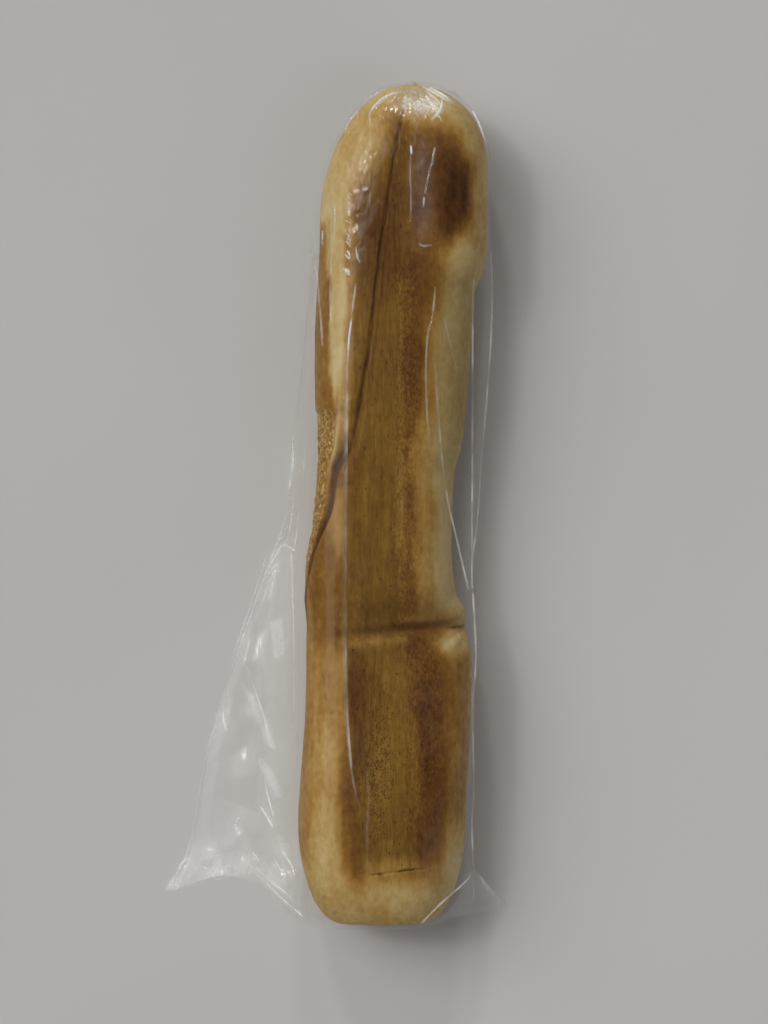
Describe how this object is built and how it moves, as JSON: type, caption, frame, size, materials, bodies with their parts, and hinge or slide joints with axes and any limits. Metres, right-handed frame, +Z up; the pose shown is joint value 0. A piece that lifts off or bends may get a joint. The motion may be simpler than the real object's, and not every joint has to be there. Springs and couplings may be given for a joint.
{
  "type": "haitian bread in a clear bag",
  "caption": "Long soft stick loaf with a browned face, a diagonal moulding seam and a pinched-in kink, in a loose clear film bag with a free wing of film.",
  "frame": {"origin": "middle of the bagged loaf's footprint, on the surface it lies on", "axes": "+Y runs from the loaf's foot to its top end, +Z up from the surface to the shown face, +X to the right as the picture shows it"},
  "size_m": [0.1754, 0.425, 0.0618],
  "materials": {
    "baked_crust": "soft baked crust, medium brown on the shown face, golden and cream at the sides and ends",
    "clear_film": "thin clear glossy plastic film with creases"
  },
  "bodies": {
    "root": {"loaf": "baked_crust", "bag": "clear_film"}
  },
  "joints": []
}
